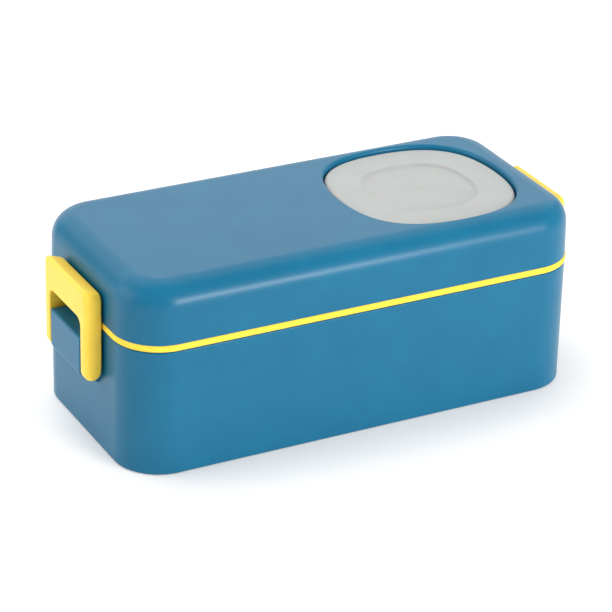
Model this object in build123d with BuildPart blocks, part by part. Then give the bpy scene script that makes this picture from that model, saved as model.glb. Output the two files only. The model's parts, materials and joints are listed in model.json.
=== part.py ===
"""Bento lunch box: a food container, a sealed lid with a sauce pot let into its top, and two end latches.

Sizes are millimetres. The origin is the middle of the plane the box rests on. +X runs along the box
towards the sauce pot's end, and +Z is up.
"""
import os
from math import cos, radians, sqrt

from build123d import *

os.makedirs("parts", exist_ok=True)

# The whole box
body_length = 200.0
body_width = 95.0
body_height = 80.5
corner_radius = 19.3
wall = 2.2

# Container
container_height = 53.4
floor_thickness = 2.4
foot_inset = 7.0
foot_height = 0.8
floor_fillet = 6.0
base_edge_fillet = 1.2
rim_fillet = 0.6

# Seal ring, clamped between the container's rim and the lid
seam_gap = 0.25
band_height = 2.8
band_proud = 0.35
band_fillet = 0.7
sleeve_thickness = 1.25
sleeve_depth = 3.2
wiper_height = 1.0
wiper_clearance = 0.25

# Lid
lid_base = container_height + seam_gap + band_height
lid_draft = 1.2
lid_top_fillet = 9.8
lid_top_thickness = 2.2
skirt_inset = 4.0
skirt_thickness = 1.4
skirt_depth = 6.5
skirt_flange = 3.0
skirt_bead = 0.5

# Sauce pot's pocket in the lid: a square with bowed sides and round corners
pocket_x = 49.4
pocket_half = 37.2
pocket_floor_top = 58.6
pocket_wall = 1.6
pocket_rim_fillet = 1.3
pocket_floor_fillet = 5.0
side_bow_ratio = 3.0
corner_ratio = 0.78

# Sauce pot and its cover
cover_half = 36.7
cover_top = body_height - 1.6
cover_thickness = 1.6
cover_skirt = 1.1
cover_skirt_depth = 7.0
cover_edge_fillet = 1.2
cover_panel_half = 22.3
cover_panel_depth = 1.1
cover_panel_fillet = 0.9
cover_plug_depth = 3.2
cover_plug_thickness = 1.0
pot_half = 35.1
pot_wall = 1.2
pot_draft = 4.0
pot_fillet = 6.0
pot_floor_clearance = 0.2
pot_rim_clearance = 0.1
plug_clearance = 0.3
pot_seal_thickness = 0.9

# Divider across the container
divider_x = -24.0
divider_thickness = 1.8
divider_top = 47.0
divider_end_clearance = 0.4
divider_slot_clearance = 0.15
divider_dip_radius = 40.0
divider_dip_depth = 5.0
divider_foot_radius = 6.5
divider_top_radius = 3.0
rib_width = 1.6
rib_depth = 1.4
rib_top = 44.0

# Latches: inverted U shapes that hinge on lugs at the container's ends
latch_standoff = 0.75
latch_depth = 7.25
latch_half_width = 19.9
latch_opening_half = 15.1
latch_opening_top = 58.0
latch_top_front = 71.4
latch_top_back = 68.9
latch_corner = 3.0
latch_opening_corner = 3.5
latch_edge_fillet = 1.5
hinge_x = body_length / 2 + latch_standoff + latch_depth / 2
hinge_z = 35.8
socket_depth = 3.3
running_clearance = 0.05

# Lugs and hinge pins
lug_half_width = 14.5
lug_top = 49.5
lug_bottom = 33.5
lug_root_bottom = 27.5
lug_fillet = 0.8
pin_radius = 1.25
pin_half_length = 17.8
pin_bore_clearance = 0.02

# Catch: a ridge on the lid's end wall that a lip on the latch hooks over
catch_half_width = 9.0
catch_reach = 0.6
catch_ramp = 1.4
ridge_bottom = 59.2
ridge_land = 1.0
lip_land = 2.2
catch_gap = 0.15


def body_outline(inset, mode=Mode.ADD):
    """The box's plan outline, inset all round, drawn in the sketch that is open."""
    return RectangleRounded(
        body_length - 2 * inset, body_width - 2 * inset, corner_radius - inset, mode=mode
    )


def bowed_square(half_width):
    """A square with gently bowed sides and round corners, as a face of eight tangent arcs."""
    side_radius = side_bow_ratio * half_width
    round_radius = corner_ratio * half_width
    side_centre = side_radius - half_width
    reach = side_radius - round_radius
    corner_centre = (sqrt(2 * reach**2 - side_centre**2) - side_centre) / 2
    join_x = (corner_centre + side_centre) * side_radius / reach - side_centre
    join_y = corner_centre * side_radius / reach
    corner_tip = corner_centre + round_radius * cos(radians(45))
    with BuildSketch() as square:
        with BuildLine():
            side = ThreePointArc(
                (join_x, -join_y), (half_width, 0), (join_x, join_y), mode=Mode.PRIVATE
            )
            corner = ThreePointArc(
                (join_x, join_y), (corner_tip, corner_tip), (join_y, join_x), mode=Mode.PRIVATE
            )
            for quarter_turn in range(4):
                add(side.rotate(Axis.Z, 90 * quarter_turn))
                add(corner.rotate(Axis.Z, 90 * quarter_turn))
        make_face()
    return square.sketch


# ---------------------------------------------------------------- container
with BuildPart() as container:
    with BuildSketch():
        body_outline(0)
    extrude(amount=container_height)
    fillet(container.edges().group_by(Axis.Z)[0], radius=base_edge_fillet)
    with BuildSketch(Plane.XY.offset(floor_thickness)):
        body_outline(wall)
    extrude(amount=container_height - floor_thickness, mode=Mode.SUBTRACT)
    inner_floor = container.faces().filter_by(Plane.XY).sort_by(Axis.Z)[1]
    fillet(inner_floor.edges(), radius=floor_fillet)
    rim = container.faces().sort_by(Axis.Z)[-1]
    fillet(rim.edges(), radius=rim_fillet)
    # Underside recess, which leaves a foot all round
    with BuildSketch():
        body_outline(foot_inset)
    extrude(amount=foot_height, mode=Mode.SUBTRACT)
    # Two pairs of ribs that guide the divider's ends
    rib_root = wall / 2
    rib_x = divider_thickness / 2 + divider_slot_clearance + rib_width / 2
    rib_y = body_width / 2 - wall - rib_depth / 2 + rib_root / 2
    with BuildSketch(Plane.XY.offset(floor_thickness / 2)):
        with Locations((divider_x - rib_x, 0), (divider_x + rib_x, 0)):
            with Locations((0, -rib_y), (0, rib_y)):
                Rectangle(rib_width, rib_depth + rib_root)
    extrude(amount=rib_top - floor_thickness / 2)
    # Lugs at both ends, with a bore for the hinge pin
    lug_face = body_length / 2 + latch_standoff + latch_depth
    lug_root = body_length / 2 - wall / 2
    for end in (-1, 1):
        with BuildSketch(Plane.XZ):
            with BuildLine():
                Polyline(
                    (end * lug_root, lug_root_bottom),
                    (end * lug_face, lug_bottom),
                    (end * lug_face, lug_top),
                    (end * lug_root, lug_top),
                    close=True,
                )
            make_face()
        extrude(amount=lug_half_width, both=True)
    for outermost in (0, -1):
        lug_end = container.faces().filter_by(Plane.YZ).sort_by(Axis.X)[outermost]
        fillet(lug_end.edges(), radius=lug_fillet)
    with BuildSketch(Plane.XZ):
        with Locations((-hinge_x, hinge_z), (hinge_x, hinge_z)):
            Circle(pin_radius + pin_bore_clearance)
    extrude(amount=lug_half_width + wall, both=True, mode=Mode.SUBTRACT)
container.part.label = "container"
export_step(container.part, "parts/container.step")


# ---------------------------------------------------------------- divider
with BuildPart() as divider:
    divider_half = body_width / 2 - wall - divider_end_clearance
    divider_bottom = floor_thickness + divider_end_clearance
    dip_centre = divider_top - divider_dip_depth + divider_dip_radius
    with BuildSketch(Plane.YZ.offset(divider_x)):
        with BuildLine():
            Polyline(
                (-divider_half, divider_bottom),
                (divider_half, divider_bottom),
                (divider_half, divider_top),
                (-divider_half, divider_top),
                close=True,
            )
        make_face()
        with Locations((0, dip_centre)):
            Circle(divider_dip_radius, mode=Mode.SUBTRACT)
    extrude(amount=divider_thickness / 2, both=True)
    lower_corners = divider.edges().filter_by(Axis.X).group_by(Axis.Z)[0]
    fillet(lower_corners, radius=divider_foot_radius)
    upper_corners = divider.edges().filter_by(Axis.X).group_by(Axis.Z)[-1]
    fillet(upper_corners, radius=divider_top_radius)
divider.part.label = "divider"
export_step(divider.part, "parts/divider.step")


# ---------------------------------------------------------------- seal ring
with BuildPart() as seal_ring:
    band_bottom = container_height + seam_gap
    with BuildSketch(Plane.XY.offset(band_bottom)):
        body_outline(-band_proud)
    extrude(amount=band_height)
    outer_edges = seal_ring.edges().filter_by(Plane.XY)
    fillet(outer_edges, radius=band_fillet)
    # Sleeve that hangs inside the container's rim, with one wiper lip near its end
    sleeve_inset = skirt_inset - sleeve_thickness
    with BuildSketch(Plane.XY.offset(band_bottom - sleeve_depth)):
        body_outline(sleeve_inset)
    extrude(amount=sleeve_depth)
    with BuildSketch(Plane.XY.offset(band_bottom - sleeve_depth + wiper_height / 2)):
        body_outline(wall + wiper_clearance)
    extrude(amount=wiper_height)
    with BuildSketch(Plane.XY.offset(band_bottom - sleeve_depth)):
        body_outline(skirt_inset)
    extrude(amount=sleeve_depth + band_height, mode=Mode.SUBTRACT)
seal_ring.part.label = "seal_ring"
export_step(seal_ring.part, "parts/seal_ring.step")


# ---------------------------------------------------------------- lid
with BuildPart() as lid_hollow:
    lid_height = body_height - lid_base
    with BuildSketch(Plane.XY.offset(lid_base)):
        body_outline(wall)
    extrude(amount=lid_height - lid_top_thickness, taper=lid_draft)
    fillet(lid_hollow.edges().group_by(Axis.Z)[-1], radius=lid_top_fillet - lid_top_thickness)

with BuildPart() as lid:
    with BuildSketch(Plane.XY.offset(lid_base)):
        body_outline(0)
    extrude(amount=lid_height, taper=lid_draft)
    fillet(lid.edges().group_by(Axis.Z)[-1], radius=lid_top_fillet)
    add(lid_hollow.part, mode=Mode.SUBTRACT)
    # Flange over the seal, then the skirt that the seal is stretched round, with a bead at its end
    with BuildSketch(Plane.XY.offset(lid_base)):
        body_outline(wall / 2)
        body_outline(skirt_inset + skirt_thickness, mode=Mode.SUBTRACT)
    extrude(amount=skirt_flange)
    with BuildSketch(Plane.XY.offset(lid_base - skirt_depth)):
        body_outline(skirt_inset)
        body_outline(skirt_inset + skirt_thickness, mode=Mode.SUBTRACT)
    extrude(amount=skirt_depth + skirt_flange / 2)
    with BuildSketch(Plane.XY.offset(lid_base - skirt_depth)):
        body_outline(skirt_inset - skirt_bead)
        body_outline(skirt_inset + skirt_thickness, mode=Mode.SUBTRACT)
    extrude(amount=skirt_bead)
    # Pocket for the sauce pot
    with BuildSketch(Plane.XY.offset(pocket_floor_top - pocket_wall)):
        with Locations((pocket_x, 0)):
            add(bowed_square(pocket_half + pocket_wall))
    extrude(amount=body_height - lid_top_thickness / 2 - pocket_floor_top + pocket_wall)
    with BuildSketch(Plane.XY.offset(pocket_floor_top)):
        with Locations((pocket_x, 0)):
            add(bowed_square(pocket_half))
    extrude(amount=body_height - pocket_floor_top, mode=Mode.SUBTRACT)
    lid_face = lid.faces().filter_by(Plane.XY).sort_by(Axis.Z)[-1]
    fillet(lid_face.inner_wires().edges(), radius=pocket_rim_fillet)
    pocket_floor = lid.faces().filter_by(Plane.XY).filter_by_position(
        Axis.Z, pocket_floor_top - 0.1, pocket_floor_top + 0.1
    )
    fillet(pocket_floor.edges(), radius=pocket_floor_fillet)
    # Catch ridges on both end walls
    ridge_base = body_length / 2 - wall / 2
    ridge_face = body_length / 2 + catch_reach
    for end in (-1, 1):
        with BuildSketch(Plane.XZ):
            with BuildLine():
                Polyline(
                    (end * ridge_base, ridge_bottom),
                    (end * body_length / 2, ridge_bottom),
                    (end * ridge_face, ridge_bottom + catch_reach),
                    (end * ridge_face, ridge_bottom + catch_reach + ridge_land),
                    (end * body_length / 2, ridge_bottom + catch_reach + ridge_land + catch_ramp),
                    (end * ridge_base, ridge_bottom + catch_reach + ridge_land + catch_ramp),
                    close=True,
                )
            make_face()
        extrude(amount=catch_half_width, both=True)
lid.part.label = "lid"
export_step(lid.part, "parts/lid.step")


# ---------------------------------------------------------------- sauce pot
cover_underside = cover_top - cover_thickness
pot_rim_top = cover_underside - pot_seal_thickness - pot_rim_clearance
pot_bottom = pocket_floor_top + pot_floor_clearance
pot_height = pot_rim_top - pot_bottom

with BuildPart() as pot_bowl:
    with BuildSketch(Plane.XY.offset(pot_rim_top)):
        with Locations((pocket_x, 0)):
            add(bowed_square(pot_half - pot_wall))
    extrude(amount=pot_wall - pot_height, taper=pot_draft)
    fillet(pot_bowl.edges().group_by(Axis.Z)[0], radius=pot_fillet - pot_wall)

with BuildPart() as sauce_pot:
    with BuildSketch(Plane.XY.offset(pot_rim_top)):
        with Locations((pocket_x, 0)):
            add(bowed_square(pot_half))
    extrude(amount=-pot_height, taper=pot_draft)
    fillet(sauce_pot.edges().group_by(Axis.Z)[0], radius=pot_fillet)
    add(pot_bowl.part, mode=Mode.SUBTRACT)
sauce_pot.part.label = "sauce_pot"
export_step(sauce_pot.part, "parts/sauce_pot.step")


# ---------------------------------------------------------------- sauce pot cover
with BuildPart() as sauce_pot_lid:
    skirt_bottom = cover_underside - cover_skirt_depth
    with BuildSketch(Plane.XY.offset(skirt_bottom)):
        with Locations((pocket_x, 0)):
            add(bowed_square(cover_half))
    extrude(amount=cover_top - skirt_bottom)
    fillet(sauce_pot_lid.edges().group_by(Axis.Z)[-1], radius=cover_edge_fillet)
    with BuildSketch(Plane.XY.offset(skirt_bottom)):
        with Locations((pocket_x, 0)):
            add(bowed_square(cover_half - cover_skirt))
    extrude(amount=cover_skirt_depth, mode=Mode.SUBTRACT)
    # Centre panel sunk into the top, with the same depth let down underneath
    panel_outer = cover_panel_half + cover_thickness
    with BuildSketch(Plane.XY.offset(cover_underside - cover_panel_depth)):
        with Locations((pocket_x, 0)):
            add(bowed_square(panel_outer))
    extrude(amount=cover_panel_depth)
    with BuildSketch(Plane.XY.offset(cover_top - cover_panel_depth)):
        with Locations((pocket_x, 0)):
            add(bowed_square(cover_panel_half))
    extrude(amount=cover_panel_depth, mode=Mode.SUBTRACT)
    panel_face = sauce_pot_lid.faces().filter_by(Plane.XY).sort_by(Axis.Z)[-2]
    fillet(panel_face.edges(), radius=cover_panel_fillet)
    # Plug ring that centres the seal and the pot's rim
    plug_outer = pot_half - pot_wall - plug_clearance
    with BuildSketch(Plane.XY.offset(cover_underside - cover_plug_depth)):
        with Locations((pocket_x, 0)):
            add(bowed_square(plug_outer))
            add(bowed_square(plug_outer - cover_plug_thickness), mode=Mode.SUBTRACT)
    extrude(amount=cover_plug_depth)
sauce_pot_lid.part.label = "sauce_pot_lid"
export_step(sauce_pot_lid.part, "parts/sauce_pot_lid.step")


# ---------------------------------------------------------------- sauce pot seal
with BuildPart() as sauce_pot_seal:
    with BuildSketch(Plane.XY.offset(cover_underside - pot_seal_thickness)):
        with Locations((pocket_x, 0)):
            add(bowed_square(cover_half - cover_skirt - pot_rim_clearance))
            add(bowed_square(plug_outer + pot_rim_clearance), mode=Mode.SUBTRACT)
    extrude(amount=pot_seal_thickness)
sauce_pot_seal.part.label = "sauce_pot_seal"
export_step(sauce_pot_seal.part, "parts/sauce_pot_seal.step")


# ---------------------------------------------------------------- latches
latch_back = body_length / 2 + latch_standoff
latch_face = latch_back + latch_depth
lip_bottom = ridge_bottom + catch_reach + ridge_land + catch_gap
lip_face = latch_back - catch_reach

with BuildPart() as right_latch:
    # Side view: round leg ends about the hinge, and a top that rises towards the fingertip
    with BuildSketch(Plane.XZ):
        with BuildLine():
            JernArc((latch_back, hinge_z), (0, -1), latch_depth / 2, 180)
            Polyline(
                (latch_face, hinge_z),
                (latch_face, latch_top_front),
                (latch_back, latch_top_back),
                (latch_back, hinge_z),
            )
        make_face()
    extrude(amount=latch_half_width, both=True)
    for side in (0, -1):
        corner = right_latch.faces().sort_by(Axis.Z)[-1].edges().sort_by(Axis.Y)[side]
        fillet(corner, radius=latch_corner)
    # Opening between the legs
    with BuildSketch(Plane.YZ.offset(latch_back)):
        with Locations((0, latch_opening_top)):
            Rectangle(
                2 * latch_opening_half,
                latch_opening_top - hinge_z + latch_depth,
                align=(Align.CENTER, Align.MAX),
            )
    extrude(amount=latch_depth, mode=Mode.SUBTRACT)
    opening_corners = right_latch.edges().filter_by(Axis.X).filter_by_position(
        Axis.Z, latch_opening_top - 0.1, latch_opening_top + 0.1
    )
    fillet(opening_corners, radius=latch_opening_corner)
    leg_sides = right_latch.faces().filter_by(Plane.XZ).group_by(Axis.Y)
    fillet(leg_sides[0].edges() + leg_sides[-1].edges(), radius=latch_edge_fillet)
    # Lip that hooks over the lid's ridge
    with BuildSketch(Plane.XZ):
        with BuildLine():
            Polyline(
                (latch_back + latch_depth / 4, lip_bottom),
                (latch_back, lip_bottom),
                (lip_face, lip_bottom + catch_ramp),
                (lip_face, lip_bottom + catch_ramp + lip_land),
                (latch_back, lip_bottom + catch_ramp + lip_land + catch_reach),
                (latch_back + latch_depth / 4, lip_bottom + catch_ramp + lip_land + catch_reach),
                close=True,
            )
        make_face()
    extrude(amount=catch_half_width, both=True)
    # Blind sockets for the hinge pin's ends
    with BuildSketch(Plane.XZ):
        with Locations((hinge_x, hinge_z)):
            Circle(pin_radius + running_clearance)
    extrude(amount=latch_opening_half + socket_depth, both=True, mode=Mode.SUBTRACT)
right_latch.part.label = "right_latch"
export_step(right_latch.part, "parts/right_latch.step")

with BuildPart() as left_latch:
    mirror(right_latch.part, about=Plane.YZ)
left_latch.part.label = "left_latch"
export_step(left_latch.part, "parts/left_latch.step")


# ---------------------------------------------------------------- hinge pins
with BuildPart() as right_hinge_pin:
    with BuildSketch(Plane.XZ):
        with Locations((hinge_x, hinge_z)):
            Circle(pin_radius)
    extrude(amount=pin_half_length, both=True)
    chamfer(right_hinge_pin.edges().filter_by(GeomType.CIRCLE), length=pin_radius / 5)
right_hinge_pin.part.label = "right_hinge_pin"
export_step(right_hinge_pin.part, "parts/right_hinge_pin.step")

with BuildPart() as left_hinge_pin:
    mirror(right_hinge_pin.part, about=Plane.YZ)
left_hinge_pin.part.label = "left_hinge_pin"
export_step(left_hinge_pin.part, "parts/left_hinge_pin.step")
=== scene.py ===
"""Looks of the bento lunch box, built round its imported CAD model.

Lengths are in metres, in the CAD model's frame: X along the box, Z up, the table at Z = 0.
"""
import json
import math

import bmesh
import bpy
from mathutils import Matrix, Vector


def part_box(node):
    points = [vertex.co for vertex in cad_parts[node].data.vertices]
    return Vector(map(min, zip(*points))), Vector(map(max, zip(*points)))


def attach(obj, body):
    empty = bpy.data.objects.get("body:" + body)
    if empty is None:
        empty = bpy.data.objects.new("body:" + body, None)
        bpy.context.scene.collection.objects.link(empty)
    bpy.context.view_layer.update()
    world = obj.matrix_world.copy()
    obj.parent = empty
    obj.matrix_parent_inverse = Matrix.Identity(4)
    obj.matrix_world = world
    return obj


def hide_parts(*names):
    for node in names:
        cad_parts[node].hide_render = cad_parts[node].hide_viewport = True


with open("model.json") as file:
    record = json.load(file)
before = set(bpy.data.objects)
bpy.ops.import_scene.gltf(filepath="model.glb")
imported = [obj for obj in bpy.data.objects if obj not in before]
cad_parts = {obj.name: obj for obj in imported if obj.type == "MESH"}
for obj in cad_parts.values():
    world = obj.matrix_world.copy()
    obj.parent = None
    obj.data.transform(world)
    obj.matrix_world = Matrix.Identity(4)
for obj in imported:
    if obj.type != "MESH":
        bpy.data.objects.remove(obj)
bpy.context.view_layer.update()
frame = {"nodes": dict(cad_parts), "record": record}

MM = 0.001

# Sizes of the moulded pieces that the CAD boxes don't give by themselves
CORNER_RADIUS = 19.3 * MM
WALL = 2.2 * MM
FLOOR = 2.4 * MM
BAND_PROUD = 0.35 * MM
CORNER_SEGMENTS = 20
OUTLINE_SEGMENTS = 20
ROD_SIDES = 32

# A circle's Bezier handles as a share of its radius, and the longer ones that square it
CIRCLE_HANDLE = 0.5523
SQUARENESS = 0.70

# Modelling tolerances, and how far a cutter reaches past what it cuts
SAME_PLACE = 0.02 * MM
MERGE_DISTANCE = 0.001 * MM
HAIR = 0.01 * MM
CUT_PAST = 1 * MM
CUT_FAR_PAST = 5 * MM
FLAT_ENOUGH = 0.9
SMOOTH_BELOW = math.radians(35)
SHARP_ABOVE = math.radians(40)


# ------------------------------------------------------------------ modelling helpers
def start_piece(name):
    """Names the primitive that was just added, applies its place and opens it for editing."""
    piece = bpy.context.active_object
    piece.name = name
    piece.data.name = name
    bpy.ops.object.transform_apply(location=True, rotation=True, scale=True)
    bpy.ops.object.mode_set(mode="EDIT")
    bpy.ops.mesh.select_mode(type="FACE")
    return piece


def end_piece(piece):
    """Closes the edit, turns the faces outwards and smooths all but the sharp edges."""
    bpy.ops.mesh.select_all(action="SELECT")
    bpy.ops.mesh.normals_make_consistent(inside=False)
    bpy.ops.object.mode_set(mode="OBJECT")
    only(piece)
    bpy.ops.object.shade_smooth_by_angle(angle=SMOOTH_BELOW)


def only(piece):
    """Selects one object and nothing else."""
    bpy.ops.object.select_all(action="DESELECT")
    piece.select_set(True)
    bpy.context.view_layer.objects.active = piece


def pick_faces(piece, wanted):
    """Selects the faces whose middle and normal pass the test."""
    bpy.ops.mesh.select_mode(type="FACE")
    mesh = bmesh.from_edit_mesh(piece.data)
    for face in mesh.faces:
        face.select_set(wanted(face.calc_center_median(), face.normal))
    bmesh.update_edit_mesh(piece.data)


def pick_edges(piece, wanted):
    """Selects the edges whose two ends pass the test."""
    bpy.ops.mesh.select_mode(type="EDGE")
    mesh = bmesh.from_edit_mesh(piece.data)
    for edge in mesh.edges:
        edge.select_set(False)
    for edge in mesh.edges:
        if wanted(edge.verts[0].co, edge.verts[1].co):
            edge.select_set(True)
    bmesh.update_edit_mesh(piece.data)


def near(value, target):
    """Whether two coordinates are the same but for rounding."""
    return abs(value - target) < SAME_PLACE


def pick_level(piece, z, facing):
    """Selects the flat faces at a height that face up (1) or down (-1)."""
    bpy.ops.mesh.select_all(action="SELECT")
    bpy.ops.mesh.normals_make_consistent(inside=False)
    pick_faces(piece, lambda middle, normal: near(middle.z, z) and normal.z * facing > FLAT_ENOUGH)


def pick_rim(piece, z):
    """Selects the edges that lie in the plane at a height."""
    pick_edges(piece, lambda a, b: near(a.z, z) and near(b.z, z))


def pick_corner_edges(piece, x, z):
    """Selects the block's edges that run along Y at a place in X and Z."""
    pick_edges(piece, lambda a, b: near(a.x, x) and near(b.x, x) and near(a.z + b.z, 2 * z))


def bevel(width, segments):
    """Rounds the selected edges."""
    bpy.ops.mesh.bevel(
        offset_type="OFFSET",
        offset=width,
        segments=segments,
        profile=0.5,
        affect="EDGES",
        clamp_overlap=False,
        loop_slide=True,
    )


def inset(width):
    """Insets the selected faces by an even width."""
    bpy.ops.mesh.inset(thickness=width, depth=0, use_even_offset=True)


def raise_faces(height):
    """Extrudes the selected faces straight up, or down when the height is negative."""
    bpy.ops.mesh.extrude_region_move(TRANSFORM_OT_translate={"value": (0, 0, height)})


def scale_faces(factor_x, factor_y, centre):
    """Scales the selected faces in plan, about a centre."""
    bpy.ops.transform.resize(value=(factor_x, factor_y, 1), center_override=centre)


def add_outline(name, z, grow=0.0):
    """A flat rounded rectangle: the box's plan outline, grown or shrunk all round."""
    bpy.ops.object.select_all(action="DESELECT")
    bpy.ops.mesh.primitive_plane_add(size=1, location=(0, 0, z))
    plane = bpy.context.active_object
    plane.scale = (BODY_LENGTH + 2 * grow, BODY_WIDTH + 2 * grow, 1)
    piece = start_piece(name)
    bpy.ops.mesh.select_mode(type="VERT")
    bpy.ops.mesh.select_all(action="SELECT")
    bpy.ops.mesh.bevel(
        offset=CORNER_RADIUS + grow,
        segments=CORNER_SEGMENTS,
        profile=0.5,
        affect="VERTICES",
        clamp_overlap=False,
    )
    bpy.ops.mesh.select_mode(type="FACE")
    bpy.ops.mesh.select_all(action="SELECT")
    return piece


def add_bowed_square(name, z, half):
    """A flat square with bowed sides and round corners, round the sauce pot's middle."""
    bpy.ops.object.select_all(action="DESELECT")
    bpy.ops.curve.primitive_bezier_circle_add(radius=half, location=(POT_X, 0, z))
    outline = bpy.context.active_object
    outline.data.resolution_u = OUTLINE_SEGMENTS
    for point in outline.data.splines[0].bezier_points:
        for side in ("handle_left", "handle_right"):
            setattr(point, side + "_type", "FREE")
        point.handle_left = point.co + (point.handle_left - point.co) * SQUARENESS / CIRCLE_HANDLE
        point.handle_right = point.co + (point.handle_right - point.co) * SQUARENESS / CIRCLE_HANDLE
    bpy.ops.object.convert(target="MESH")
    piece = start_piece(name)
    bpy.ops.mesh.select_mode(type="VERT")
    bpy.ops.mesh.select_all(action="SELECT")
    bpy.ops.mesh.remove_doubles(threshold=MERGE_DISTANCE)
    bpy.ops.mesh.edge_face_add()
    bpy.ops.mesh.select_mode(type="FACE")
    bpy.ops.mesh.select_all(action="SELECT")
    return piece


def add_block(name, low, high):
    """A box between two corners, open for editing."""
    bpy.ops.object.select_all(action="DESELECT")
    middle = [(a + b) / 2 for a, b in zip(low, high)]
    bpy.ops.mesh.primitive_cube_add(size=1, location=middle)
    bpy.context.active_object.scale = [b - a for a, b in zip(low, high)]
    return start_piece(name)


def add_rod(name, radius, half_length, x, z):
    """A cylinder along Y, open for editing."""
    bpy.ops.object.select_all(action="DESELECT")
    bpy.ops.mesh.primitive_cylinder_add(
        vertices=ROD_SIDES,
        radius=radius,
        depth=2 * half_length,
        location=(x, 0, z),
        rotation=(math.pi / 2, 0, 0),
    )
    return start_piece(name)


def combine(piece, other, operation):
    """Joins another piece to this one, or cuts it out, and removes the other piece."""
    only(piece)
    cut = piece.modifiers.new("combine", "BOOLEAN")
    cut.operation = operation
    cut.solver = "EXACT"
    cut.object = other
    bpy.ops.object.modifier_apply(modifier=cut.name)
    bpy.data.objects.remove(other)


def finish_piece(piece, node, material):
    """Weights the normals to the flat faces, then hands the piece to its CAD node's body."""
    only(piece)
    bpy.ops.object.shade_smooth_by_angle(angle=SMOOTH_BELOW)
    weighting = piece.modifiers.new("flat faces lead", "WEIGHTED_NORMAL")
    weighting.keep_sharp = True
    bpy.ops.object.modifier_apply(modifier=weighting.name)
    piece.data.materials.clear()
    piece.data.materials.append(material)
    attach(piece, body_holding(node))
    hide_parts(node)


def body_holding(node):
    """The CAD body that a node belongs to."""
    for body, nodes in frame["record"]["behaviour"]["bodies"].items():
        if node in nodes:
            return body


# ------------------------------------------------------------------ sizes from the CAD boxes
container_low, container_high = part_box("container")
lid_low, lid_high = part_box("lid")
seal_low, seal_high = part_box("seal_ring")
cover_low, cover_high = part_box("sauce_pot_lid")
pot_low, pot_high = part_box("sauce_pot")
latch_low, latch_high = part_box("right_latch")
pin_low, pin_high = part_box("right_hinge_pin")

BODY_LENGTH = seal_high.x - seal_low.x - 2 * BAND_PROUD
BODY_WIDTH = container_high.y - container_low.y
POT_X = (cover_low.x + cover_high.x) / 2
HINGE_X = (pin_low.x + pin_high.x) / 2
HINGE_Z = (pin_low.z + pin_high.z) / 2


# ------------------------------------------------------------------ material helpers
def linear(hex_colour):
    """An sRGB hex colour as the linear RGBA that a shader socket takes."""
    channels = [int(hex_colour[i:i + 2], 16) / 255 for i in (1, 3, 5)]
    turned = [c / 12.92 if c <= 0.04045 else ((c + 0.055) / 1.055) ** 2.4 for c in channels]
    return (*turned, 1.0)


def add_node(material, kind, inputs=None, links=None):
    """Adds a node with its settings; links maps an input socket to a (node, output socket) pair."""
    tree = material.node_tree
    node = tree.nodes.new(kind)
    for key, value in (inputs or {}).items():
        node.inputs[key].default_value = value
    for key, (source, output) in (links or {}).items():
        tree.links.new(source.outputs[output], node.inputs[key])
    return node


def new_material(name, settings):
    """A material with one Principled shader, set by socket name, and nothing else."""
    material = bpy.data.materials.new(name)
    material.use_nodes = True
    material.node_tree.nodes.clear()
    shader = add_node(material, "ShaderNodeBsdfPrincipled", inputs=settings)
    add_node(material, "ShaderNodeOutputMaterial", links={"Surface": (shader, "BSDF")})
    return material, shader


def speckle_colour(material, shader, place, light, dark, size):
    """Slow drift between two close colours, as pigment gives; size is a patch's width."""
    noise = add_node(
        material,
        "ShaderNodeTexNoise",
        inputs={"Scale": 1 / size, "Detail": 3.0, "Roughness": 0.55},
        links={"Vector": (place, "Object")},
    )
    ramp = add_node(material, "ShaderNodeValToRGB", links={"Fac": (noise, "Fac")})
    ramp.color_ramp.elements[0].position = 0.35
    ramp.color_ramp.elements[1].position = 0.65
    ramp.color_ramp.elements[0].color = linear(dark)
    ramp.color_ramp.elements[1].color = linear(light)
    material.node_tree.links.new(ramp.outputs["Color"], shader.inputs["Base Color"])


def grain(material, shader, place, size, height, strength):
    """Fine mould texture as bump, with grains of a real size; returns its noise."""
    noise = add_node(
        material,
        "ShaderNodeTexNoise",
        inputs={"Scale": 1 / size, "Detail": 2.0, "Roughness": 0.6},
        links={"Vector": (place, "Object")},
    )
    bump = add_node(
        material,
        "ShaderNodeBump",
        inputs={"Strength": strength, "Distance": height},
        links={"Height": (noise, "Fac")},
    )
    material.node_tree.links.new(bump.outputs["Normal"], shader.inputs["Normal"])
    return noise


def vary_roughness(material, shader, noise, low, high):
    """Lets the roughness follow a noise between two values."""
    spread = add_node(
        material,
        "ShaderNodeMapRange",
        inputs={"To Min": low, "To Max": high},
        links={"Value": (noise, "Fac")},
    )
    material.node_tree.links.new(spread.outputs["Result"], shader.inputs["Roughness"])


# ------------------------------------------------------------------ materials
def blue_polypropylene():
    """Polypropylene moulded in a spark-eroded mould: an even satin with a soft, wide gloss."""
    material, shader = new_material(
        "blue_polypropylene_satin", {"IOR": 1.49, "Specular IOR Level": 0.28}
    )
    place = add_node(material, "ShaderNodeTexCoord")
    speckle_colour(material, shader, place, "#0A6080", "#0A5C7C", size=18 * MM)
    noise = grain(material, shader, place, size=0.35 * MM, height=0.02 * MM, strength=0.25)
    vary_roughness(material, shader, noise, low=0.27, high=0.35)
    return material


def yellow_polypropylene():
    """Moulded polypropylene, a warm yellow that glows orange in its own shade."""
    material, shader = new_material(
        "yellow_polypropylene_satin",
        {"IOR": 1.49, "Subsurface Weight": 0.15, "Subsurface Scale": 1.5 * MM},
    )
    place = add_node(material, "ShaderNodeTexCoord")
    speckle_colour(material, shader, place, "#EECB44", "#EAC63E", size=9 * MM)
    noise = grain(material, shader, place, size=0.3 * MM, height=0.015 * MM, strength=0.2)
    vary_roughness(material, shader, noise, low=0.34, high=0.42)
    return material


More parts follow.
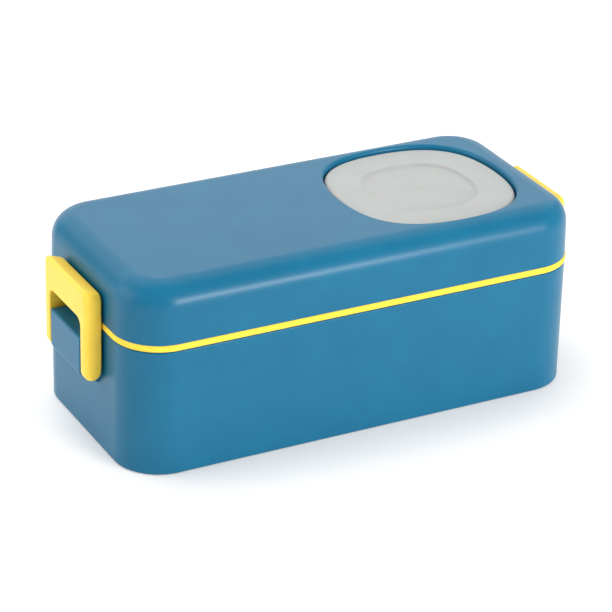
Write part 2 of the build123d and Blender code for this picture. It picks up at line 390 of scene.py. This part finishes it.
def yellow_silicone():
    """Moulded silicone rubber: a dry, dead-matt yellow that scatters a little light."""
    material, shader = new_material(
        "yellow_silicone_matt",
        {"IOR": 1.41, "Subsurface Weight": 0.2, "Subsurface Scale": 1 * MM},
    )
    place = add_node(material, "ShaderNodeTexCoord")
    speckle_colour(material, shader, place, "#F2CE40", "#EEC83A", size=6 * MM)
    noise = grain(material, shader, place, size=0.25 * MM, height=0.02 * MM, strength=0.3)
    vary_roughness(material, shader, noise, low=0.55, high=0.7)
    return material


def frosted_polypropylene():
    """Natural polypropylene with a blasted surface: milky, lets light in and blurs it."""
    material, shader = new_material(
        "frosted_polypropylene_natural",
        {"IOR": 1.49, "Subsurface Weight": 0.35, "Subsurface Scale": 3 * MM},
    )
    place = add_node(material, "ShaderNodeTexCoord")
    speckle_colour(material, shader, place, "#A0A3A1", "#9C9F9D", size=12 * MM)
    noise = grain(material, shader, place, size=0.3 * MM, height=0.02 * MM, strength=0.25)
    vary_roughness(material, shader, noise, low=0.42, high=0.55)
    return material


def white_silicone():
    """Moulded silicone rubber, undyed: soft white and matt."""
    material, shader = new_material(
        "white_silicone_matt",
        {"IOR": 1.41, "Subsurface Weight": 0.3, "Subsurface Scale": 1 * MM},
    )
    place = add_node(material, "ShaderNodeTexCoord")
    speckle_colour(material, shader, place, "#E6E6E2", "#DEDEDA", size=5 * MM)
    noise = grain(material, shader, place, size=0.25 * MM, height=0.02 * MM, strength=0.3)
    vary_roughness(material, shader, noise, low=0.55, high=0.7)
    return material


def drawn_steel():
    """Cold-drawn stainless wire: bright, with faint lines along its length."""
    material, shader = new_material("stainless_steel_drawn", {"Metallic": 1.0})
    place = add_node(material, "ShaderNodeTexCoord")
    line_width = 0.15 * MM
    width_to_length = 0.02
    stretch = add_node(
        material,
        "ShaderNodeMapping",
        inputs={"Scale": (1, width_to_length, 1)},
        links={"Vector": (place, "Object")},
    )
    lines = add_node(
        material,
        "ShaderNodeTexNoise",
        inputs={"Scale": 1 / line_width, "Detail": 2.0},
        links={"Vector": (stretch, "Vector")},
    )
    vary_roughness(material, shader, lines, low=0.22, high=0.38)
    ramp = add_node(material, "ShaderNodeValToRGB", links={"Fac": (lines, "Fac")})
    ramp.color_ramp.elements[0].color = linear("#A9AAAC")
    ramp.color_ramp.elements[1].color = linear("#C4C5C7")
    material.node_tree.links.new(ramp.outputs["Color"], shader.inputs["Base Color"])
    return material


def pale_table():
    """Matt painted studio board: an even white that shows only soft shadows."""
    material, shader = new_material(
        "studio_board_white",
        {
            "Roughness": 0.8,
            "Specular IOR Level": 0.2,
            "Emission Color": (1, 1, 1, 1),
            "Emission Strength": 0.2,
        },
    )
    place = add_node(material, "ShaderNodeTexCoord")
    speckle_colour(material, shader, place, "#DADADA", "#D8D8D8", size=120 * MM)
    return material


blue = blue_polypropylene()
yellow = yellow_polypropylene()
yellow_rubber = yellow_silicone()
frosted = frosted_polypropylene()
white_rubber = white_silicone()
steel = drawn_steel()


# ------------------------------------------------------------------ container
FOOT_INSET = 7.0 * MM
FOOT_HEIGHT = 0.8 * MM
BASE_EDGE = 1.2 * MM
FLOOR_FILLET = 6.0 * MM
RIM_FILLET = 0.6 * MM
LUG_HALF_WIDTH = 14.5 * MM
LUG_TOP = 49.5 * MM
LUG_BOTTOM = 33.5 * MM
LUG_ROOT_BOTTOM = 27.5 * MM
LUG_EDGE = 0.8 * MM
LUG_BORE = 1.27 * MM
RIB_WIDTH = 1.6 * MM
RIB_DEPTH = 1.4 * MM
RIB_TOP = 44.0 * MM
RIB_GAP = 2.1 * MM


def make_lug(end):
    """A block on the end wall, sloped underneath, which the latch hinges on; end is -1 or 1."""
    root = end * (BODY_LENGTH / 2 - WALL / 2)
    face = end * container_high.x
    lug = add_block(
        "lug",
        (min(root, face), -LUG_HALF_WIDTH, LUG_BOTTOM),
        (max(root, face), LUG_HALF_WIDTH, LUG_TOP),
    )
    pick_corner_edges(lug, root, LUG_BOTTOM)
    bpy.ops.transform.translate(value=(0, 0, LUG_ROOT_BOTTOM - LUG_BOTTOM))
    pick_edges(lug, lambda a, b: not (near(a.x, root) and near(b.x, root)))
    bevel(LUG_EDGE, segments=4)
    end_piece(lug)
    bore = add_rod("bore", LUG_BORE, 2 * LUG_HALF_WIDTH, end * HINGE_X, HINGE_Z)
    end_piece(bore)
    combine(lug, bore, "DIFFERENCE")
    return lug


def make_rib(x, side):
    """One of the ribs that guide the divider's ends; side is -1 or 1."""
    inner = container_high.y - WALL - RIB_DEPTH
    outer = container_high.y - WALL / 2
    foot = FLOOR / 2
    rib = add_block(
        "rib",
        (x - RIB_WIDTH / 2, min(side * inner, side * outer), foot),
        (x + RIB_WIDTH / 2, max(side * inner, side * outer), RIB_TOP),
    )
    pick_edges(
        rib, lambda a, b: near(abs(a.y), inner) and near(abs(b.y), inner) and not near(a.z, foot)
    )
    bevel(RIB_WIDTH / 4, segments=3)
    end_piece(rib)
    return rib


def make_container():
    """A straight tub with a rounded floor and a foot, the divider's ribs and a lug at each end."""
    shell = add_outline("container_shell", 0)
    top = container_high.z
    raise_faces(top)
    pick_level(shell, top, 1)
    inset(WALL)
    raise_faces(FLOOR - top)
    pick_rim(shell, FLOOR)
    bevel(FLOOR_FILLET, segments=10)
    pick_rim(shell, top)
    bevel(RIM_FILLET, segments=3)
    pick_rim(shell, 0)
    bevel(BASE_EDGE, segments=4)
    pick_level(shell, 0, -1)
    inset(FOOT_INSET - BASE_EDGE)
    raise_faces(FOOT_HEIGHT)
    end_piece(shell)
    divider_low, divider_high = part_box("divider")
    divider_x = (divider_low.x + divider_high.x) / 2
    for offset in (-1, 1):
        for side in (-1, 1):
            rib = make_rib(divider_x + offset * (RIB_GAP + RIB_WIDTH) / 2, side)
            combine(shell, rib, "UNION")
    for end in (-1, 1):
        combine(shell, make_lug(end), "UNION")
    finish_piece(shell, "container", blue)


# ------------------------------------------------------------------ lid
LID_DRAFT = 0.5 * MM
LID_TOP_FILLET = 9.8 * MM
LID_TOP = 2.2 * MM
SKIRT_INSET = 4.0 * MM
SKIRT_WALL = 1.4 * MM
SKIRT_FLANGE = 3.0 * MM
SKIRT_BEAD = 0.5 * MM
POCKET_HALF = 37.2 * MM
POCKET_FLOOR = 58.6 * MM
POCKET_WALL = 1.6 * MM
POCKET_RIM = 1.3 * MM
POCKET_RIM_STEPS = 6
POCKET_FILLET = 5.0 * MM
RIDGE_HALF_WIDTH = 9.0 * MM
RIDGE_BOTTOM = 59.2 * MM
RIDGE_REACH = 0.6 * MM
RIDGE_LAND = 1.0 * MM
RIDGE_RAMP = 1.4 * MM


def domed_block(name, grow, low, high, fillet, segments):
    """The lid's outline raised from low to high, drafted, with a large soft top edge."""
    block = add_outline(name, low, grow)
    raise_faces(high - low)
    pick_level(block, high, 1)
    length = BODY_LENGTH + 2 * grow
    width = BODY_WIDTH + 2 * grow
    scale_faces(1 - 2 * LID_DRAFT / length, 1 - 2 * LID_DRAFT / width, (0, 0, high))
    pick_rim(block, high)
    bevel(fillet, segments)
    end_piece(block)
    return block


def outline_block(name, grow, low, high):
    """The box's outline, grown or shrunk all round, as a straight block."""
    block = add_outline(name, low, grow)
    raise_faces(high - low)
    end_piece(block)
    return block


def make_lid_rim():
    """The flange over the seal and the beaded skirt that the seal is stretched round."""
    base = seal_high.z
    bottom = lid_low.z
    rim = outline_block("lid_rim", -WALL / 2, base, base + SKIRT_FLANGE)
    skirt = outline_block("skirt", -SKIRT_INSET, bottom, base + SKIRT_FLANGE / 2)
    combine(rim, skirt, "UNION")
    bead = outline_block("bead", SKIRT_BEAD - SKIRT_INSET, bottom, bottom + SKIRT_BEAD)
    combine(rim, bead, "UNION")
    hole = outline_block("hole", -SKIRT_INSET - SKIRT_WALL, bottom - CUT_PAST, base + CUT_FAR_PAST)
    combine(rim, hole, "DIFFERENCE")
    return rim


def make_pocket_cutter():
    """The pocket's inside, with a rim that flares like a quarter-round."""
    cutter = add_bowed_square("pocket_cutter", POCKET_FLOOR, POCKET_HALF)
    rim_start = lid_high.z - POCKET_RIM
    raise_faces(rim_start - POCKET_FLOOR)
    half, level = POCKET_HALF, rim_start
    for step in range(1, POCKET_RIM_STEPS + 1):
        angle = math.pi / 2 * step / POCKET_RIM_STEPS
        new_half = POCKET_HALF + POCKET_RIM * (1 - math.cos(angle))
        new_level = rim_start + POCKET_RIM * math.sin(angle)
        raise_faces(new_level - level)
        scale_faces(new_half / half, new_half / half, (POT_X, 0, new_level))
        half, level = new_half, new_level
    raise_faces(2 * CUT_PAST)
    pick_rim(cutter, POCKET_FLOOR)
    bevel(POCKET_FILLET, segments=8)
    end_piece(cutter)
    return cutter


def make_ridge(end):
    """The catch ridge on an end wall that the latch's lip hooks over."""
    root = end * (BODY_LENGTH / 2 - WALL / 2)
    face = end * lid_high.x
    top = RIDGE_BOTTOM + RIDGE_REACH + RIDGE_LAND + RIDGE_RAMP
    ridge = add_block(
        "ridge",
        (min(root, face), -RIDGE_HALF_WIDTH, RIDGE_BOTTOM),
        (max(root, face), RIDGE_HALF_WIDTH, top),
    )
    pick_corner_edges(ridge, face, top)
    bpy.ops.transform.translate(value=(0, 0, -RIDGE_RAMP))
    pick_corner_edges(ridge, face, RIDGE_BOTTOM)
    bpy.ops.transform.translate(value=(0, 0, RIDGE_REACH))
    end_piece(ridge)
    return ridge


def make_lid():
    """A drafted shell with a soft top edge, the sauce pot's pocket, the skirt and the ridges."""
    base, top = seal_high.z, lid_high.z
    shell = domed_block("lid_shell", 0, base, top, LID_TOP_FILLET, segments=16)
    inner_top, inner_fillet = top - LID_TOP, LID_TOP_FILLET - LID_TOP
    hollow = domed_block(
        "lid_hollow", -WALL, base - CUT_PAST, inner_top, inner_fillet, segments=12
    )
    combine(shell, hollow, "DIFFERENCE")
    cup = add_bowed_square("pocket_cup", POCKET_FLOOR - POCKET_WALL, POCKET_HALF + POCKET_WALL)
    raise_faces(top - LID_TOP / 2 - POCKET_FLOOR + POCKET_WALL)
    end_piece(cup)
    combine(shell, cup, "UNION")
    combine(shell, make_pocket_cutter(), "DIFFERENCE")
    combine(shell, make_lid_rim(), "UNION")
    for end in (-1, 1):
        combine(shell, make_ridge(end), "UNION")
    finish_piece(shell, "lid", blue)


# ------------------------------------------------------------------ seal ring
BAND_HEIGHT = 2.8 * MM
BAND_EDGE = 0.7 * MM
SLEEVE_INSET = 2.75 * MM
WIPER_INSET = 2.45 * MM
WIPER_RISE = 0.5 * MM
WIPER_HEIGHT = 1.0 * MM


def make_seal_ring():
    """The band that shows in the seam, and the wiper sleeve that hangs inside the container."""
    band_bottom = seal_high.z - BAND_HEIGHT
    band = add_outline("seal_band", band_bottom, BAND_PROUD)
    raise_faces(BAND_HEIGHT)
    pick_edges(band, lambda a, b: near(a.z, b.z))
    bevel(BAND_EDGE, segments=5)
    end_piece(band)
    sleeve = outline_block("sleeve", -SLEEVE_INSET, seal_low.z, band_bottom + BAND_HEIGHT / 2)
    combine(band, sleeve, "UNION")
    wiper_bottom = seal_low.z + WIPER_RISE
    wiper = outline_block("wiper", -WIPER_INSET, wiper_bottom, wiper_bottom + WIPER_HEIGHT)
    combine(band, wiper, "UNION")
    hole = outline_block("hole", -SKIRT_INSET, seal_low.z - CUT_PAST, seal_high.z + CUT_PAST)
    combine(band, hole, "DIFFERENCE")
    finish_piece(band, "seal_ring", yellow_rubber)


# ------------------------------------------------------------------ divider
DIVIDER_DIP = 5.0 * MM
DIVIDER_DIP_RADIUS = 40.0 * MM
DIVIDER_FOOT_RADIUS = 6.5 * MM
DIVIDER_TOP_RADIUS = 3.0 * MM
DIVIDER_EDGE = 0.4 * MM
DIP_CUTTER_SIDES = 192
DIP_CUTTER_LENGTH = 20 * MM


def make_divider():
    """A plate across the box, round at its corners and dipped in the middle for a fingertip."""
    low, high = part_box("divider")
    plate = add_block("divider_plate", low, high)
    pick_edges(plate, lambda a, b: near(a.z, low.z) and near(b.z, low.z) and near(a.y, b.y))
    bevel(DIVIDER_FOOT_RADIUS, segments=8)
    pick_edges(plate, lambda a, b: near(a.z, high.z) and near(b.z, high.z) and near(a.y, b.y))
    bevel(DIVIDER_TOP_RADIUS, segments=6)
    end_piece(plate)
    bpy.ops.object.select_all(action="DESELECT")
    bpy.ops.mesh.primitive_cylinder_add(
        vertices=DIP_CUTTER_SIDES,
        radius=DIVIDER_DIP_RADIUS,
        depth=DIP_CUTTER_LENGTH,
        location=((low.x + high.x) / 2, 0, high.z - DIVIDER_DIP + DIVIDER_DIP_RADIUS),
        rotation=(0, math.pi / 2, 0),
    )
    dip = start_piece("dip")
    end_piece(dip)
    combine(plate, dip, "DIFFERENCE")
    round_sharp_edges(plate, DIVIDER_EDGE, segments=3)
    finish_piece(plate, "divider", blue)


# ------------------------------------------------------------------ sauce pot, cover and gasket
POT_WALL = 1.2 * MM
POT_FOOT_HALF = 33.88 * MM
POT_HALF = 35.1 * MM
POT_FILLET = 6.0 * MM
POT_RIM = 0.3 * MM
COVER_EDGE = 1.2 * MM
COVER_THICKNESS = 1.6 * MM
COVER_SKIRT = 1.1 * MM
PANEL_HALF = 22.3 * MM
PANEL_DEPTH = 1.1 * MM
PANEL_STEP = 1.5 * MM
PANEL_STEPS = 8
PLUG_HALF = 33.6 * MM
PLUG_WALL = 1.0 * MM
PLUG_DEPTH = 3.2 * MM
GATE_RADIUS = 1.2 * MM
GATE_DEPTH = 0.25 * MM
GATE_BALL_SEGMENTS = 64
GASKET_GAP = 0.1 * MM
GASKET_EDGE = 0.2 * MM


def bowed_block(name, half, low, high):
    """A straight block with the sauce pot's outline."""
    block = add_bowed_square(name, low, half)
    raise_faces(high - low)
    end_piece(block)
    return block


def make_pot():
    """A drafted cup with a large soft edge round its floor and a rounded rim."""
    middle = (POT_X, 0, 0)
    cup = add_bowed_square("pot_cup", pot_low.z, POT_FOOT_HALF)
    height = pot_high.z - pot_low.z
    raise_faces(height)
    grown = POT_HALF / POT_FOOT_HALF
    scale_faces(grown, grown, middle)
    raise_faces(0)
    inner_rim = (POT_HALF - POT_WALL) / POT_HALF
    scale_faces(inner_rim, inner_rim, middle)
    raise_faces(POT_WALL - height)
    inner_foot = (POT_FOOT_HALF - POT_WALL) / (POT_HALF - POT_WALL)
    scale_faces(inner_foot, inner_foot, middle)
    pick_rim(cup, pot_low.z)
    bevel(POT_FILLET, segments=8)
    pick_rim(cup, pot_low.z + POT_WALL)
    bevel(POT_FILLET - POT_WALL, segments=8)
    pick_rim(cup, pot_high.z)
    bevel(POT_RIM, segments=3)
    end_piece(cup)
    finish_piece(cup, "sauce_pot", frosted)


def make_cover():
    """A snap-on cover with a rounded edge and a panel that sinks softly in its middle."""
    middle = (POT_X, 0, 0)
    top = cover_high.z
    outer_half = (cover_high.x - cover_low.x) / 2
    cover = add_bowed_square("pot_cover", cover_low.z, outer_half)
    raise_faces(top - cover_low.z)
    pick_rim(cover, top)
    bevel(COVER_EDGE, segments=6)
    pick_level(cover, top, 1)
    half, level = outer_half - COVER_EDGE, 0
    for step in range(PANEL_STEPS + 1):
        turn = math.pi * step / PANEL_STEPS
        new_half = PANEL_HALF + PANEL_STEP / 2 - PANEL_STEP * step / PANEL_STEPS
        new_level = -PANEL_DEPTH * (1 - math.cos(turn)) / 2
        raise_faces(new_level - level)
        scale_faces(new_half / half, new_half / half, middle)
        half, level = new_half, new_level
    end_piece(cover)
    underside = top - COVER_THICKNESS
    inside = bowed_block("inside", outer_half - COVER_SKIRT, cover_low.z - CUT_PAST, underside)
    combine(cover, inside, "DIFFERENCE")
    pan_top = top - (PANEL_DEPTH + COVER_THICKNESS) / 2
    pan = bowed_block("pan", PANEL_HALF + COVER_THICKNESS, underside - PANEL_DEPTH, pan_top)
    combine(cover, pan, "UNION")
    plug_bottom = underside - PLUG_DEPTH
    plug = bowed_block("plug", PLUG_HALF, plug_bottom, underside + COVER_THICKNESS / 4)
    plug_hole = bowed_block("plug_hole", PLUG_HALF - PLUG_WALL, plug_bottom - CUT_PAST, top)
    combine(plug, plug_hole, "DIFFERENCE")
    combine(cover, plug, "UNION")
    combine(cover, make_gate_mark(top - PANEL_DEPTH), "DIFFERENCE")
    finish_piece(cover, "sauce_pot_lid", frosted)


def make_gate_mark(level):
    """The shallow round dimple that the moulding gate leaves in the middle of the panel."""
    ball_radius = (GATE_RADIUS ** 2 + GATE_DEPTH ** 2) / (2 * GATE_DEPTH)
    bpy.ops.object.select_all(action="DESELECT")
    bpy.ops.mesh.primitive_uv_sphere_add(
        segments=GATE_BALL_SEGMENTS,
        ring_count=GATE_BALL_SEGMENTS,
        radius=ball_radius,
        location=(POT_X, 0, level - GATE_DEPTH + ball_radius),
    )
    ball = start_piece("gate_mark")
    end_piece(ball)
    return ball


def make_gasket():
    """The flat ring that the cover presses on the pot's rim."""
    low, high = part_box("sauce_pot_seal")
    half = (high.x - low.x) / 2
    ring = bowed_block("pot_gasket", half, low.z, high.z)
    hole = bowed_block("hole", PLUG_HALF + GASKET_GAP, low.z - CUT_PAST, high.z + CUT_PAST)
    combine(ring, hole, "DIFFERENCE")
    round_sharp_edges(ring, GASKET_EDGE, segments=2)
    finish_piece(ring, "sauce_pot_seal", white_rubber)


# ------------------------------------------------------------------ latches and hinge pins
LATCH_FACE = 108.0 * MM
LATCH_BACK = 100.75 * MM
LATCH_TOP_FRONT = 71.4 * MM
LATCH_TOP_BACK = 68.9 * MM
LATCH_OPENING_HALF = 15.1 * MM
LATCH_OPENING_TOP = 58.0 * MM
LATCH_CORNER = 3.0 * MM
LATCH_OPENING_CORNER = 3.5 * MM
LATCH_FRONT_EDGE = 1.5 * MM
LATCH_BACK_EDGE = 0.8 * MM
LATCH_INNER_EDGE = 0.6 * MM
SOCKET_DEPTH = 3.3 * MM
SOCKET_RADIUS = 1.3 * MM
SOCKET_MARGIN = 0.1 * MM
LIP_HALF_WIDTH = 9.0 * MM
LIP_BOTTOM = 60.95 * MM
LIP_RAMP = 1.4 * MM
LIP_LAND = 2.2 * MM
LIP_REACH = 0.6 * MM
LIP_ROOT = 1 * MM


def round_sharp_edges(piece, width, segments, wanted=lambda a, b: True):
    """Bevels the piece's sharp edges, or only those whose two ends pass the test."""
    only(piece)
    bpy.ops.object.mode_set(mode="EDIT")
    bpy.ops.mesh.select_mode(type="EDGE")
    bpy.ops.mesh.select_all(action="DESELECT")
    bpy.ops.mesh.edges_select_sharp(sharpness=SHARP_ABOVE)
    mesh = bmesh.from_edit_mesh(piece.data)
    for edge in [edge for edge in mesh.edges if edge.select]:
        if not wanted(edge.verts[0].co, edge.verts[1].co):
            edge.select_set(False)
    bmesh.update_edit_mesh(piece.data)
    bevel(width, segments)
    end_piece(piece)


def make_lip():
    """The lip inside the latch that hooks over the lid's ridge."""
    tip = LATCH_BACK - LIP_REACH
    top = LIP_BOTTOM + LIP_RAMP + LIP_LAND + LIP_REACH
    lip = add_block(
        "lip",
        (tip, -LIP_HALF_WIDTH, LIP_BOTTOM),
        (LATCH_BACK + LIP_ROOT, LIP_HALF_WIDTH, top),
    )
    pick_corner_edges(lip, tip, top)
    bpy.ops.transform.translate(value=(0, 0, -LIP_REACH))
    pick_corner_edges(lip, tip, LIP_BOTTOM)
    bpy.ops.transform.translate(value=(0, 0, LIP_RAMP))
    end_piece(lip)
    return lip


def in_socket(a, b):
    """Whether an edge lies in the bore that the hinge pin ends in."""
    middle = (a + b) / 2
    return math.hypot(middle.x - HINGE_X, middle.z - HINGE_Z) < SOCKET_RADIUS + SOCKET_MARGIN


def in_opening(a, b):
    """Whether an edge lies on the walls of the opening between the legs."""
    middle = (a + b) / 2
    below = middle.z < LATCH_OPENING_TOP + HAIR
    return below and abs(middle.y) < LATCH_OPENING_HALF + HAIR


def in_front(a, b):
    """Whether an edge lies in the latch's outer half, or on the legs below the hinge."""
    middle = (a + b) / 2
    return middle.x > (LATCH_FACE + LATCH_BACK) / 2 or middle.z < HINGE_Z


def on_outline(a, b):
    """Whether an edge lies on neither the socket nor the opening."""
    return not in_socket(a, b) and not in_opening(a, b)


def on_front_edge(a, b):
    """Whether an edge is part of the outline's outer side."""
    return on_outline(a, b) and in_front(a, b)


def on_back_edge(a, b):
    """Whether an edge is part of the outline's side against the box."""
    return on_outline(a, b) and not in_front(a, b)


def on_inner_edge(a, b):
    """Whether an edge is part of the opening, but not of the sockets in its walls."""
    return in_opening(a, b) and not in_socket(a, b)


def make_latch():
    """The right latch: an inverted U with soft edges, round leg ends and a sloping top."""
    half_width = latch_high.y
    latch = add_block(
        "right_latch_frame",
        (LATCH_BACK, -half_width, latch_low.z),
        (LATCH_FACE, half_width, LATCH_TOP_FRONT),
    )
    pick_corner_edges(latch, LATCH_BACK, LATCH_TOP_FRONT)
    bpy.ops.transform.translate(value=(0, 0, LATCH_TOP_BACK - LATCH_TOP_FRONT))
    end_piece(latch)
    opening = add_block(
        "opening",
        (LATCH_BACK - CUT_FAR_PAST, -LATCH_OPENING_HALF, latch_low.z - CUT_FAR_PAST),
        (LATCH_FACE + CUT_FAR_PAST, LATCH_OPENING_HALF, LATCH_OPENING_TOP),
    )
    pick_edges(opening, lambda a, b: near(a.z + b.z, 2 * LATCH_OPENING_TOP) and near(a.y, b.y))
    bevel(LATCH_OPENING_CORNER, segments=8)
    end_piece(opening)
    combine(latch, opening, "DIFFERENCE")
    bpy.ops.object.mode_set(mode="EDIT")
    top_ends = LATCH_TOP_FRONT + LATCH_TOP_BACK
    pick_edges(latch, lambda a, b: near(a.z + b.z, top_ends) and near(a.y, b.y))
    bevel(LATCH_CORNER, segments=10)
    pick_edges(latch, lambda a, b: near(a.z + b.z, 2 * latch_low.z) and near(a.x, b.x))
    bevel((LATCH_FACE - LATCH_BACK) / 2 - HAIR, segments=10)
    end_piece(latch)
    socket_end = LATCH_OPENING_HALF + SOCKET_DEPTH
    sockets = add_rod("sockets", SOCKET_RADIUS, socket_end, HINGE_X, HINGE_Z)
    end_piece(sockets)
    combine(latch, sockets, "DIFFERENCE")
    round_sharp_edges(latch, LATCH_FRONT_EDGE, segments=6, wanted=on_front_edge)
    round_sharp_edges(latch, LATCH_BACK_EDGE, segments=4, wanted=on_back_edge)
    round_sharp_edges(latch, LATCH_INNER_EDGE, segments=3, wanted=on_inner_edge)
    combine(latch, make_lip(), "UNION")
    return latch


def make_latches():
    """The right latch and its mirrored copy at the other end."""
    right = make_latch()
    only(right)
    bpy.ops.object.duplicate()
    left = bpy.context.active_object
    left.name = left.data.name = "left_latch_frame"
    bpy.ops.transform.resize(value=(-1, 1, 1), center_override=(0, 0, 0))
    bpy.ops.object.transform_apply(location=True, rotation=True, scale=True)
    bpy.ops.object.mode_set(mode="EDIT")
    end_piece(left)
    finish_piece(right, "right_latch", yellow)
    finish_piece(left, "left_latch", yellow)


def dress_pins():
    """The turned pins keep their CAD shape and get their metal."""
    for node in ("left_hinge_pin", "right_hinge_pin"):
        for cad_slot in frame["nodes"][node].material_slots:
            cad_slot.material = steel


make_container()
make_divider()
make_seal_ring()
make_lid()
make_pot()
make_gasket()
make_cover()
make_latches()
dress_pins()


# ------------------------------------------------------------------ studio
CAMERA_AZIMUTH = math.radians(-27.99)
CAMERA_ELEVATION = math.radians(26.30)
CAMERA_ROLL = math.radians(1.45)
CAMERA_DISTANCE = 1149 * MM
CAMERA_LENS = 165.9
SENSOR_WIDTH = 36
NEAREST = 0.05
FARTHEST = 50
AIM_RIGHT = -1.6 * MM
AIM_UP = -5.1 * MM

TABLE_SIZE = 8
WORLD_STRENGTH = 0.58
LIGHTS_AIM = (0, 0, 40 * MM)

# Name, place, width and height in metres, power in watts
SOFTBOXES = (
    ("front_softbox", (0.48, -1.3, 0.36), 0.4, 0.36, 8.5),
    ("back_softbox", (0.45, 1.4, 1.5), 3.6, 3.2, 32),
    ("left_softbox", (-1.3, 0.55, 0.6), 1.2, 1.0, 6.5),
)
# Fills light the box without mirroring in it, so that they draw no bright patch on the satin
FILLS = (
    ("front_fill", (0.6, -1.25, 0.5), 1.2, 1.0, 14),
    ("top_fill", (-0.3, 0.5, 1.8), 1.2, 1.0, 12),
    ("left_fill", (-1.3, 0.2, 0.6), 1.2, 1.0, 5),
)


def make_camera():
    """The camera looks at the box's middle from its left front, a little above, rolled slightly."""
    azimuth, elevation = CAMERA_AZIMUTH, CAMERA_ELEVATION
    back = Vector((
        math.sin(azimuth) * math.cos(elevation),
        -math.cos(azimuth) * math.cos(elevation),
        math.sin(elevation),
    ))
    level_right = Vector((math.cos(azimuth), math.sin(azimuth), 0))
    level_up = back.cross(level_right)
    right = level_right * math.cos(CAMERA_ROLL) + level_up * math.sin(CAMERA_ROLL)
    up = level_up * math.cos(CAMERA_ROLL) - level_right * math.sin(CAMERA_ROLL)
    middle = Vector((0, 0, lid_high.z / 2))
    place = middle + back * CAMERA_DISTANCE + right * AIM_RIGHT + up * AIM_UP
    data = bpy.data.cameras.new("camera")
    data.lens = CAMERA_LENS
    data.sensor_width = SENSOR_WIDTH
    data.clip_start = NEAREST
    data.clip_end = FARTHEST
    camera = bpy.data.objects.new("camera", data)
    turned = Matrix((right, up, back)).transposed().to_4x4()
    camera.matrix_world = Matrix.Translation(place) @ turned
    bpy.context.scene.collection.objects.link(camera)
    bpy.context.scene.camera = camera


def make_softbox(name, place, width, height, watts):
    """A rectangular area light that faces the box."""
    data = bpy.data.lights.new(name, "AREA")
    data.shape = "RECTANGLE"
    data.size = width
    data.size_y = height
    data.energy = watts
    light = bpy.data.objects.new(name, data)
    light.location = place
    light.rotation_mode = "QUATERNION"
    light.rotation_quaternion = (Vector(LIGHTS_AIM) - Vector(place)).to_track_quat("-Z", "Y")
    bpy.context.scene.collection.objects.link(light)
    return light


def make_studio():
    """A white board under the box, three softboxes, three fills and a white surround."""
    bpy.ops.object.select_all(action="DESELECT")
    bpy.ops.mesh.primitive_plane_add(size=TABLE_SIZE, location=(0, 0, 0))
    table = bpy.context.active_object
    table.name = "table"
    table.data.materials.append(pale_table())
    for light in SOFTBOXES:
        make_softbox(*light)
    for light in FILLS:
        fill = make_softbox(*light)
        fill.visible_glossy = False
    world = bpy.data.worlds.new("studio")
    bpy.context.scene.world = world
    world.use_nodes = True
    background = world.node_tree.nodes["Background"]
    background.inputs["Color"].default_value = (1, 1, 1, 1)
    background.inputs["Strength"].default_value = WORLD_STRENGTH
    bpy.context.scene.view_settings.view_transform = "Standard"


make_camera()
make_studio()
